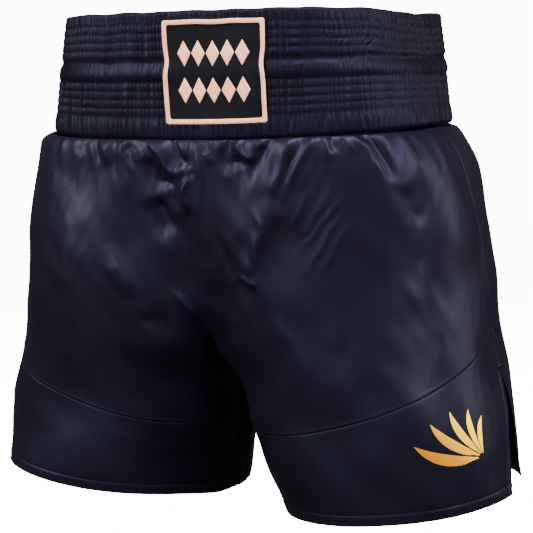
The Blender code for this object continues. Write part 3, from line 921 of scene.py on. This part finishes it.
def panel_points(s, t, back, mirrored, extra):
    """Points of the draped cloth and their normals. extra is the relief of seams and hems."""
    table_points, table_normals = TABLES[back]
    points = sample(table_points, s, t)
    normals = unit(sample(table_normals, s, t))
    points = points + normals * (relief(points, s, t, back, mirrored) + extra)[..., None]
    # The halves overlap a little at the centre seam, so that no light comes through.
    points[..., 0] = np.maximum(points[..., 0], 0.0) - 0.0004 * bell(s / 0.004) * (t < CROTCH_T)
    down = np.maximum(0.0, -points[..., 2] - BAND_HEIGHT)
    points[..., 2] += seam_lift(around(s, back, mirrored)) * smoothstep(1.0 - down / 0.13)
    low = smoothstep((t - 0.6) / 0.4)
    if mirrored:
        inward = bell(s / 0.42) * low
        points[..., 0] -= 0.0125 * inward
        points[..., 1] += 0.0040 * inward
        return points * (-1.0, 1.0, 1.0), normals * (-1.0, 1.0, 1.0)
    if not back:
        off_seam = smoothstep(s / 0.1) * smoothstep((t - 0.55) / 0.45)
        points[..., 2] -= 0.0050 * bell((s - 0.42) / 0.42) * off_seam
        corner = bell((s - 0.12) / 0.2) * smoothstep(s / 0.08) * low
        points[..., 0] -= 0.0040 * corner
        points[..., 1] -= 0.0065 * corner
    return points, normals


def add_panel(half, side, back, mirrored, kind, s, t, extra):
    """One panel from its grid of s and t. An upper panel, where t starts at 0, is tucked in."""
    points, normals = panel_points(s, t, back, mirrored, extra)
    uv = np.stack([s * PANEL_SPAN, -t * PANEL_DROP], axis=-1)
    if t[0, 0] == 0.0:
        turned = points[0] - normals[0] * TUCK + (0.0, 0.0, 0.0006)
        points = np.concatenate([turned[None], points])
        uv = np.concatenate([uv[:1] + (0.0, TUCK), uv])
    if back != mirrored:
        points, uv = points[:, ::-1], uv[:, ::-1]
    panel = grid_mesh(f"{half}{kind}_satin_{side}", points[::-1], SATIN, uv[::-1], thickness=CLOTH)
    place(panel, [f"{half}{kind}_panel_{side}"], "satin")


def puckers(along, seed):
    """Small even ripples that stitching pulls into a hem, by the share along it."""
    return 0.00022 * waves(seed, 8, (55, 100), (0, 0))(along, 0.0)


def panel_grid(side_edge, shares):
    """A panel's grid of s and of shares down it, close together at the seams."""
    rows = np.concatenate([np.linspace(*span)[:-1] for span in shares] + [[1.0]])
    return np.meshgrid(np.concatenate([[0.0, 0.002, 0.005], *side_edge]), rows)


def make_upper_panel(half, side, back, mirrored):
    s, share = panel_grid([np.linspace(0.009, 0.991, 142), [0.995, 0.998, 1.0]],
                          [(0.0, 0.07, 22), (0.07, 0.97, 142), (0.97, 1.0, 14)])
    t = share * curve_t(s)
    extra = (edge_relief((curve_t(s) - t) * PANEL_DROP) + edge_relief(s * SEAM_SPAN)
             + edge_relief((1.0 - s) * SEAM_SPAN))
    add_panel(half, side, back, mirrored, "", s, t, extra)


def make_hem_panel(half, side, back, mirrored):
    """The panel below the curved seam. Its side edge opens into the slit."""
    s, share = panel_grid([np.linspace(0.009, 0.965, 138), np.linspace(0.968, 1.0, 14)],
                          [(0.0, 0.06, 10), (0.06, 0.86, 46), (0.86, 1.0, 22)])
    t = lerp(curve_t(s), 1.0, share)
    for _ in range(3):
        t = lerp(curve_t(s * slit_edge(t, back)), 1.0, share)
    real_s = s * slit_edge(t, back)
    to_hem = (1.0 - t) * PANEL_DROP
    from_curve = (t - curve_t(real_s)) * PANEL_DROP
    to_slit = (1.0 - s) * HEM_SPAN
    on_slit = smoothstep((t - SLIT_TOP) / 0.02)
    extra = hem_relief(to_hem) + edge_relief(s * SEAM_SPAN) - 0.00028 * bell(from_curve / 0.0010)
    extra += on_slit * hem_relief(to_slit * HEM_DEPTH / 0.007) + (1 - on_slit) * edge_relief(to_slit)
    ripples = puckers(real_s, 60 + 2 * mirrored + back) * smoothstep(s / 0.03)
    extra += ripples * bell((to_hem - HEM_DEPTH) / 0.006)
    add_panel(half, side, back, mirrored, "_hem", real_s, t, extra)


def make_panels():
    line = np.linspace(0.004, 0.996, 400)
    hem_t = 1.0 - HEM_DEPTH / PANEL_DROP
    rise = np.linspace(SLIT_TOP + 0.004, hem_t, 120)
    curve_lines, hem_lines = [], []
    for side, mirrored in SIDES:
        for half, back in (("front", False), ("back", True)):
            make_upper_panel(half, side, back, mirrored)
            make_hem_panel(half, side, back, mirrored)
            for lines, s, t, lift in (
                (curve_lines, line, curve_t(line) - 0.0022 / PANEL_DROP, 0.00018),
                (hem_lines, line * (slit_edge(hem_t, back) - 0.022), np.full_like(line, hem_t), -0.0002),
                (hem_lines, slit_edge(rise, back) - 0.0235, rise, -0.0002),
            ):
                lines.append(panel_points(s, t, back, mirrored, lift))
    place(stitches("curve_stitching", curve_lines, 0.0026, 0.0008, 0.00016, NAVY_THREAD), [], "thread")
    place(stitches("hem_stitching", hem_lines, 0.0026, 0.0008, 0.00018, NAVY_THREAD), [], "thread")


# ---- patch, emblem and trims

patch_sway = waves(51, 6, (1, 4), (8, 26))


def patch_face(x, z, lift):
    """Points over the band where the patch lies: it bridges the gathers and follows the channel."""
    across = (x - PATCH_X) / (PATCH_WIDTH / 2)
    x = x - 0.0016 * bell((z + 0.0395) / 0.008) * across * abs(across)
    edge = smoothstep((np.abs(across) - 0.55) / 0.45)
    swell = MM * (2.2 * bell((z + 0.0465) / 0.0075) * (0.35 + 0.5 * edge) + 0.35 * patch_sway(across / 4, z))
    shape = x.shape
    x, z, out = x.ravel(), z.ravel(), (lift + PATCH_LIFT + swell).ravel()
    u = np.linspace(0.15, 0.42, 500)
    levels = np.linspace(PATCH_BOTTOM - 0.002, PATCH_TOP + 0.002, 60)
    row = (z - levels[0]) / (levels[1] - levels[0])
    points = np.zeros((x.size, 3))
    for k, level in enumerate(levels):
        near = np.abs(row - k) < 1.0
        weight = 1.0 - np.abs(row[near] - k)
        ring, normal = band_ring(level, u)
        face = at_lengths(x[near], ring[:, 0], np.column_stack([ring, normal]))
        points[near, 0] += weight * (x[near] + face[:, 2] * out[near])
        points[near, 1] += weight * (face[:, 1] + face[:, 3] * out[near])
    points[:, 2] = z + band_lift(PATCH_U + (x - PATCH_X) / RING_LENGTH, z)
    return points.reshape(*shape, 3)


FIELD_INSET = 0.002


def make_patch():
    left, right = PATCH_X - PATCH_WIDTH / 2, PATCH_X + PATCH_WIDTH / 2
    x, z = np.meshgrid(np.linspace(left + FIELD_INSET, right - FIELD_INSET, 90),
                       np.linspace(PATCH_BOTTOM + FIELD_INSET, PATCH_TOP - FIELD_INSET, 84))
    uv = np.stack([x, z], axis=-1)
    field = grid_mesh("patch_twill", patch_face(x, z, 0.0), TWILL, uv, thickness=0.0005)
    place(field, ["patch_field"], "patch")
    make_patch_border(left, right)
    make_motif()


def border_track(left, right, inset, count):
    """Points (x, z) round the patch at an inset, with small round corners, and the track's length."""
    radius = 0.0022
    low_x, high_x = left + inset + radius, right - inset - radius
    low_z, high_z = PATCH_BOTTOM + inset + radius, PATCH_TOP - inset - radius
    outline = []
    corners = ((high_x, high_z), (low_x, high_z), (low_x, low_z), (high_x, low_z))
    for quarter, (cx, cz) in enumerate(corners):
        for k in range(7):
            angle = math.radians(90 * quarter + 90.0 * k / 6)
            outline.append((cx + radius * math.cos(angle), cz + radius * math.sin(angle)))
    outline.append(outline[0])
    length = arc_length(np.array(outline))
    places = np.linspace(0.0, length[-1], count, endpoint=False)
    return at_lengths(places, length, outline), length[-1]


BORDER_POINTS = 1500
THREAD_PITCH = 0.0011


def make_patch_border(left, right):
    """A dense embroidered edge: cords of thread laid side by side across the border."""
    rows = []
    for share in np.linspace(0.0, 1.0, 11):
        track, total = border_track(left, right, PATCH_BORDER * share, BORDER_POINTS)
        along = np.arange(BORDER_POINTS) / BORDER_POINTS * total
        round_over = math.sin(math.pi * (0.08 + 0.84 * share)) ** 0.45
        thread = 0.5 + 0.5 * np.cos(2 * math.pi * (along / THREAD_PITCH + 0.35 * share))
        groove = 0.30 * bell((share - 0.62) / 0.07)
        rows.append(patch_face(*track.T, MM * (0.15 + 1.05 * round_over + 0.16 * thread - groove)))
    base, _ = border_track(left, right, PATCH_BORDER, BORDER_POINTS)
    points = np.array([*rows, patch_face(*base.T, 0.0)])
    border = grid_mesh("patch_edging", points, PEACH_THREAD, points[..., ::2], closed=True)
    place(border, ["patch_border"], "patch_thread")
    track, _ = border_track(left, right, PATCH_BORDER * 0.62, 900)
    line = patch_face(*track.T, MM * 1.05), np.tile((0.0, -1.0, 0.0), (len(track), 1))
    place(stitches("patch_stitching", [line], 0.0017, 0.0008, 0.00024, PEACH_THREAD), [], "patch_thread")


LOZENGES = 5
LOZENGE_GRID = 26


def make_motif():
    """Two rows of embroidered lozenges."""
    a, b = np.meshgrid(np.linspace(-1, 1, LOZENGE_GRID), np.linspace(-1, 1, LOZENGE_GRID))
    rim = np.maximum(np.abs(a), np.abs(b))
    crown = np.sqrt(np.clip(1.0 - rim**4, 0.0, 1.0))
    quads = grid_quads(LOZENGE_GRID, LOZENGE_GRID)
    for row in ("upper", "lower"):
        low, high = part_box(f"patch_motif_{row}")
        middle_z = (low[2] + high[2]) / 2
        pitch = (high[0] - low[0]) / LOZENGES
        dx = (a + b) / 2 * (pitch / 2 - 0.0004)
        dz = (b - a) / 2 * (high[2] - low[2]) / 2
        slant = 0.5 + 0.5 * np.cos(2 * math.pi * (dz + 0.35 * dx) / 0.0009)
        lift = MM * (0.12 + 0.60 * crown + 0.10 * slant * crown)
        points, faces = [], []
        for k in range(LOZENGES):
            points.append(patch_face(PATCH_X + (k - 2) * pitch + dx, middle_z + dz, lift))
            faces += (quads + k * LOZENGE_GRID**2).tolist()
        lozenges = mesh_object(f"lozenges_{row}", points, faces, PEACH_THREAD)
        place(lozenges, [f"patch_motif_{row}"], "patch_thread")


WING_S, WING_T = 0.785, 0.868
WING_START, WING_END = math.radians(78.0), math.radians(186.0)
WING_FEATHERS = 5
WING_SHORT, WING_LONG = 0.034, 0.066


def make_emblem():
    """A plain wing of five curved feathers, pressed onto the cloth."""
    table_points, _ = TABLES[False]
    ends = sample(table_points, WING_S + np.array([0.05, -0.05]), np.full(2, WING_T))
    span = np.linalg.norm(ends[0] - ends[1]) / 0.1
    rows, columns = 40, 10
    v, c = np.meshgrid(np.linspace(0.0, 1.0, rows), np.linspace(0.0, 1.0, columns), indexing="ij")
    taper = (1.0 - v**2.6) * (0.55 + 0.45 * np.minimum(1.0, v * 4))
    width = (WING_END - WING_START) / WING_FEATHERS * 0.86
    offsets, faces = [], []
    for k in range(WING_FEATHERS):
        first = lerp(WING_START, WING_END, (k + 0.02) / WING_FEATHERS)
        radius = lerp(0.10, 1.0, v) * lerp(WING_SHORT, WING_LONG, k / WING_FEATHERS)
        angle = first + width * taper * c - 0.08 * v * v
        offsets.append(np.stack([radius * np.cos(angle), radius * np.sin(angle)], axis=-1).reshape(-1, 2))
        faces += (grid_quads(rows, columns) + k * rows * columns).tolist()
    offsets = np.concatenate(offsets)
    s, t = WING_S + offsets[:, 0] / span, WING_T - offsets[:, 1] / PANEL_DROP
    points, _ = panel_points(s, t, False, False, 0.00022)
    wing = mesh_object("wing_film", points, faces, GOLD, offsets / WING_LONG + (1.0, 0.0))
    place(wing, ["leg_emblem"], "gold_film")


BARTACK_HALF = 0.0055
BARTACK_THREADS = 12


def make_bartacks():
    """Dense zigzag stitching that holds the top of each side slit together."""
    for side, mirrored in SIDES:
        lines = []
        for k in range(BARTACK_THREADS):
            reach = lerp(-BARTACK_HALF, BARTACK_HALF, k / (BARTACK_THREADS - 1)) / PANEL_SPAN
            s, t = np.full(2, 1.0 - abs(reach)), SLIT_TOP + np.array([-0.006, 0.004]) + 0.0008 * (k % 2)
            lines.append(panel_points(s, t, reach > 0.0, mirrored, 0.0005))
        tack = stitches(f"bartack_{side}", lines, 0.0029, 0.0001, 0.00042, NAVY_THREAD)
        place(tack, [f"slit_bartack_{side}"], "thread")


def make_trims():
    """Gives the CAD solids that show as they are their own materials."""
    for node, material in (
        ("elastic_upper", ELASTIC), ("elastic_lower", ELASTIC), ("cord_eyelet_left", NAVY_THREAD),
        ("cord_eyelet_right", NAVY_THREAD), ("size_label", SIZE_LABEL), ("care_label", CARE_LABEL),
    ):
        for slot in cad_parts[node].material_slots:
            slot.material = material


# ---- stage, lights and camera

FLOOR_Z = -0.62
LIT_HEIGHT = -0.2
WORLD_GLOW = 0.05


def make_stage():
    """A round pale floor that curves up into a wall all round. It lights nothing but the view."""
    curve = [(3.2 + 1.4 * math.sin(a), 1.4 - 1.4 * math.cos(a)) for a in np.linspace(0.0, math.pi / 2, 14)]
    profile = [(0.0001, 0.0), *curve, (4.6, 6.0)]
    turn = np.linspace(0.0, 2 * math.pi, 72, endpoint=False)
    points = np.array([
        np.stack([r * np.cos(turn), r * np.sin(turn), np.full_like(turn, FLOOR_Z + z)], axis=-1)
        for r, z in profile
    ])
    paper = grid_mesh("paper_sweep", points, backdrop_material(), closed=True)
    paper.visible_diffuse = False
    paper.visible_glossy = False
    paper.visible_shadow = False


def direction(azimuth, elevation):
    """The way out from the shorts. Azimuth is from the front, towards the wearer's left."""
    level = math.cos(elevation)
    return Vector((math.sin(azimuth) * level, -math.cos(azimuth) * level, math.sin(elevation)))


def area_light(name, azimuth, elevation, distance, size, power):
    """A soft light that faces the shorts, at angles in degrees."""
    data = bpy.data.lights.new(name, "AREA")
    data.shape = "RECTANGLE"
    data.size, data.size_y = size
    data.energy = power
    lamp = add_object(name, data)
    way = direction(math.radians(azimuth), math.radians(elevation))
    lamp.location = way * distance + Vector((0, 0, LIT_HEIGHT))
    lamp.rotation_euler = way.to_track_quat("Z", "Y").to_euler()
    return lamp


def make_lights():
    area_light("softbox left", -46, 24, 1.8, (0.8, 1.0), 54)
    area_light("front left", -8, 12, 1.9, (0.8, 1.2), 11)
    area_light("softbox right", 70, 28, 1.8, (0.7, 1.0), 52)
    area_light("side right", 118, 14, 1.9, (0.5, 1.2), 17)
    area_light("front high", 22, 60, 1.9, (1.0, 0.7), 108)
    for name, azimuth, elevation, power in (("front fill", 10, 0, 14), ("back fill", 205, 45, 200)):
        fill = area_light(name, azimuth, elevation, 1.9, (1.4, 0.9), power)
        fill.visible_glossy = False
    world = bpy.data.worlds.new("studio")
    world.use_nodes = True
    background = world.node_tree.nodes["Background"]
    background.inputs["Color"].default_value = (1.0, 1.0, 1.0, 1.0)
    background.inputs["Strength"].default_value = WORLD_GLOW
    bpy.context.scene.world = world


def make_camera():
    data = bpy.data.cameras.new("camera")
    data.lens = LENS
    data.sensor_width = SENSOR
    camera = add_object("camera", data)
    back = direction(VIEW_AZIMUTH, VIEW_ELEVATION)
    right = Vector((0, 0, 1)).cross(back).normalized()
    up = back.cross(right)
    turned_right = right * math.cos(VIEW_ROLL) + up * math.sin(VIEW_ROLL)
    turned_up = up * math.cos(VIEW_ROLL) - right * math.sin(VIEW_ROLL)
    pose = Matrix((turned_right, turned_up, back)).transposed().to_4x4()
    pose.translation = Vector(VIEW_TARGET) + back * VIEW_DISTANCE
    camera.matrix_world = pose
    bpy.context.scene.camera = camera


make_camera()
make_stage()
make_lights()
make_band()
make_band_stitches()
make_lining()
make_panels()
make_patch()
make_emblem()
make_bartacks()
make_trims()

bpy.context.view_layer.update()
